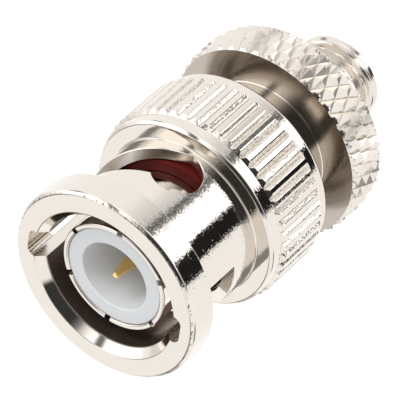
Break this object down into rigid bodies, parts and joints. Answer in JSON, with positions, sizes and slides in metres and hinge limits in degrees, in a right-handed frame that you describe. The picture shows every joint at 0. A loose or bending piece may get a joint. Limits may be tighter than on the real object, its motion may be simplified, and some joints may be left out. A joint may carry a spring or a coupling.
{
  "type": "coax adapter",
  "caption": "Coaxial adapter with a knurled bayonet coupling ring on a plug end and a small threaded jack at the other end.",
  "frame": {"origin": "centre of the jack's end face, on which the adapter stands", "axes": "+Z along the axis from the threaded jack to the bayonet face"},
  "size_m": [0.0148, 0.0148, 0.0265],
  "materials": {
    "ring_nickel": "turned brass, bright nickel plate",
    "body_nickel": "turned brass, bright nickel plate",
    "sleeve_nickel": "thin spring bronze, bright nickel plate",
    "spring_bronze": "spring bronze strip",
    "gold_contact": "gold plate",
    "white_insulator": "white fluoropolymer, satin",
    "red_silicone": "red silicone rubber"
  },
  "bodies": {
    "adapter_body": {"jack_body": "body_nickel", "front_body": "body_nickel", "contact_sleeve": "sleeve_nickel", "gasket": "red_silicone", "front_insulator": "white_insulator", "rear_insulator": "white_insulator", "centre_contact": "gold_contact", "spring_washer_front": "spring_bronze", "spring_washer_back": "spring_bronze"},
    "spring_follower": {"thrust_washer": "body_nickel"},
    "coupling": {"coupling_ring": "ring_nickel", "retaining_washer": "body_nickel"}
  },
  "joints": [
    {"name": "ring_draw", "type": "slide", "parent": "adapter_body", "child": "spring_follower", "axis": [0, 0, 1], "range_m": [0, 0.0009], "stiffness_N_per_m": 12000, "springref_m": -0.0002, "deforming": ["spring_washer_front", "spring_washer_back"]},
    {"name": "ring_turn", "type": "hinge", "parent": "spring_follower", "child": "coupling", "pos_m": [0, 0, 0.0135], "axis": [0, 0, 1], "continuous": true}
  ]
}
